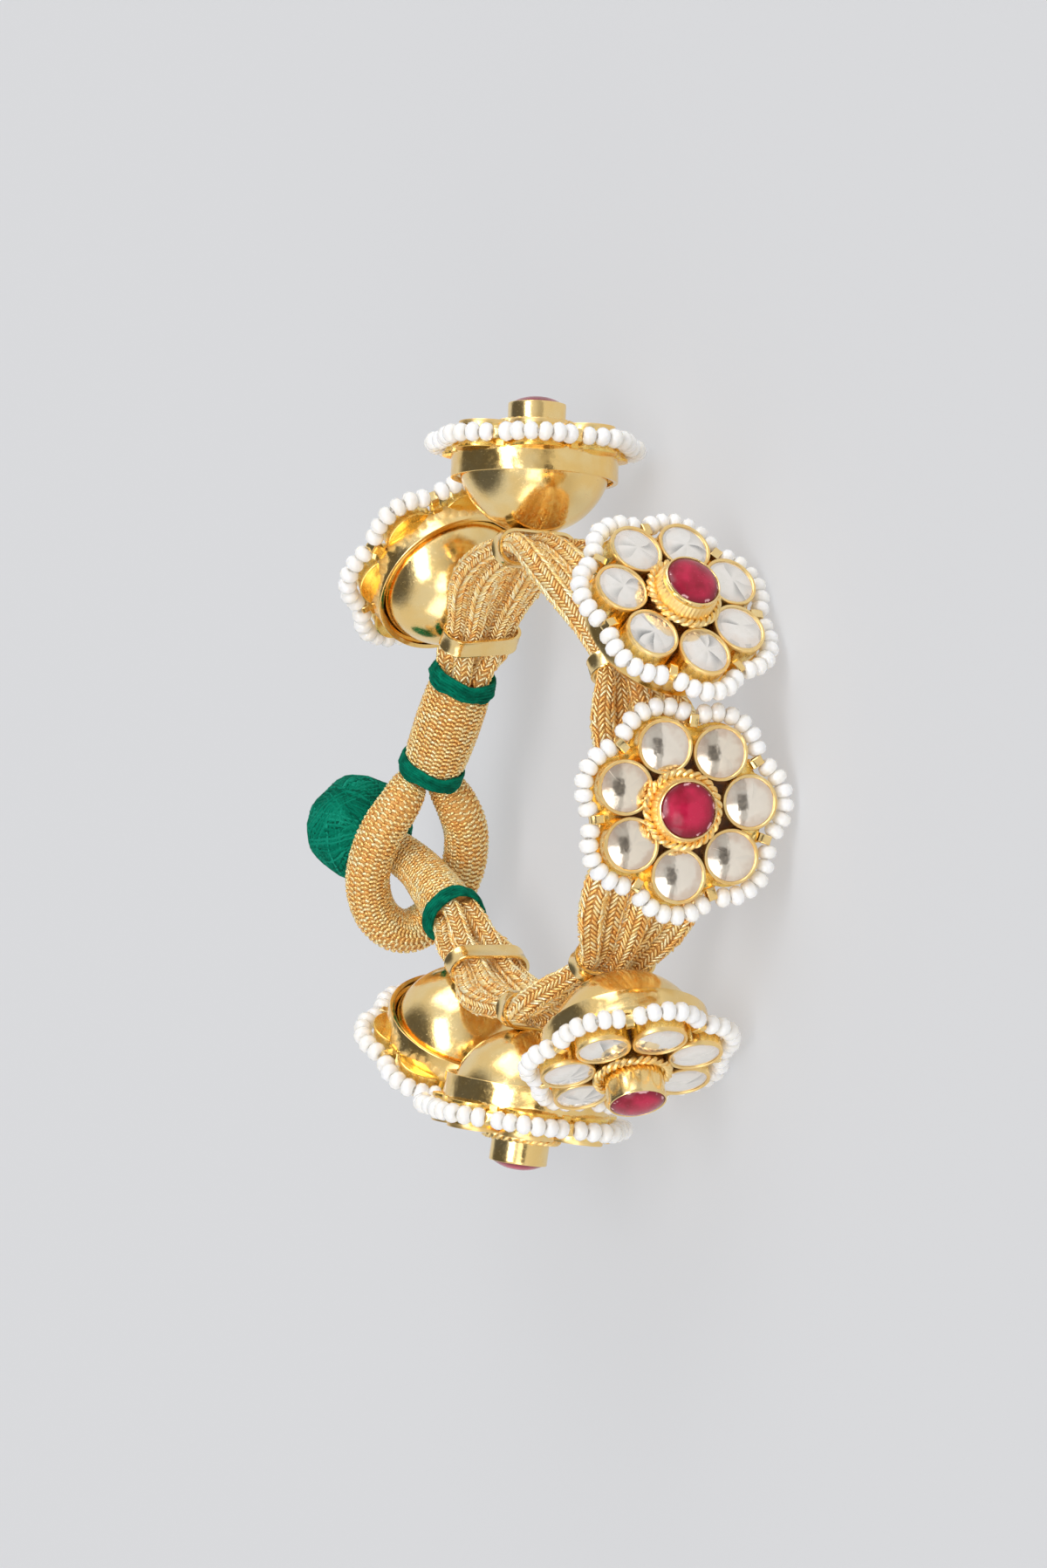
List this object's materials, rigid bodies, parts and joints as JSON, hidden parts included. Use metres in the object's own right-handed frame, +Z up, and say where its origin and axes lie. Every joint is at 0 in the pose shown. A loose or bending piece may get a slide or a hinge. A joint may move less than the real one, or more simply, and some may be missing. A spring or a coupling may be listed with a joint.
{
  "type": "kundan bracelet",
  "caption": "Gold kundan bracelet: domed flower heads with foil-backed stones, ruby centres and bead edging on knitted cords, closed by a cord loop and a thread ball.",
  "frame": {"origin": "middle of the wrist opening, on the surface that the bracelet lies on", "axes": "+Z up along the axis of the ring, -X towards the clasp"},
  "size_m": [0.1007, 0.0958, 0.0319],
  "materials": {
    "gold_metal": "polished gold plate, hammered and soldered by hand",
    "foil_backed_glass": "clear cut glass over silver foil",
    "ruby_glass": "polished red cabochon",
    "white_beads": "glossy pearl-white seed beads",
    "gold_cord": "knitted metallic gold thread in herringbone ribs",
    "gold_knit": "fine knitted metallic gold thread",
    "green_thread": "wound green silk thread"
  },
  "bodies": {
    "root": {"flower_setting_1": "gold_metal", "flower_setting_2": "gold_metal", "flower_setting_3": "gold_metal", "flower_setting_4": "gold_metal", "flower_setting_5": "gold_metal", "flower_setting_6": "gold_metal", "flower_setting_7": "gold_metal", "petal_stones_1": "foil_backed_glass", "petal_stones_2": "foil_backed_glass", "petal_stones_3": "foil_backed_glass", "petal_stones_4": "foil_backed_glass", "petal_stones_5": "foil_backed_glass", "petal_stones_6": "foil_backed_glass", "petal_stones_7": "foil_backed_glass", "ruby_1": "ruby_glass", "ruby_2": "ruby_glass", "ruby_3": "ruby_glass", "ruby_4": "ruby_glass", "ruby_5": "ruby_glass", "ruby_6": "ruby_glass", "ruby_7": "ruby_glass", "bead_edging_1": "white_beads", "bead_edging_2": "white_beads", "bead_edging_3": "white_beads", "bead_edging_4": "white_beads", "bead_edging_5": "white_beads", "bead_edging_6": "white_beads", "bead_edging_7": "white_beads", "band_cord_1": "gold_cord", "band_cord_2": "gold_cord", "band_cord_3": "gold_cord", "band_cord_4": "gold_cord", "band_cord_5": "gold_cord", "neck_sheath": "gold_knit", "loop_cord": "gold_knit", "stem_cord": "gold_knit", "thread_ball": "green_thread", "thread_wrap_1": "green_thread", "thread_wrap_2": "green_thread", "thread_wrap_3": "green_thread"}
  },
  "joints": []
}
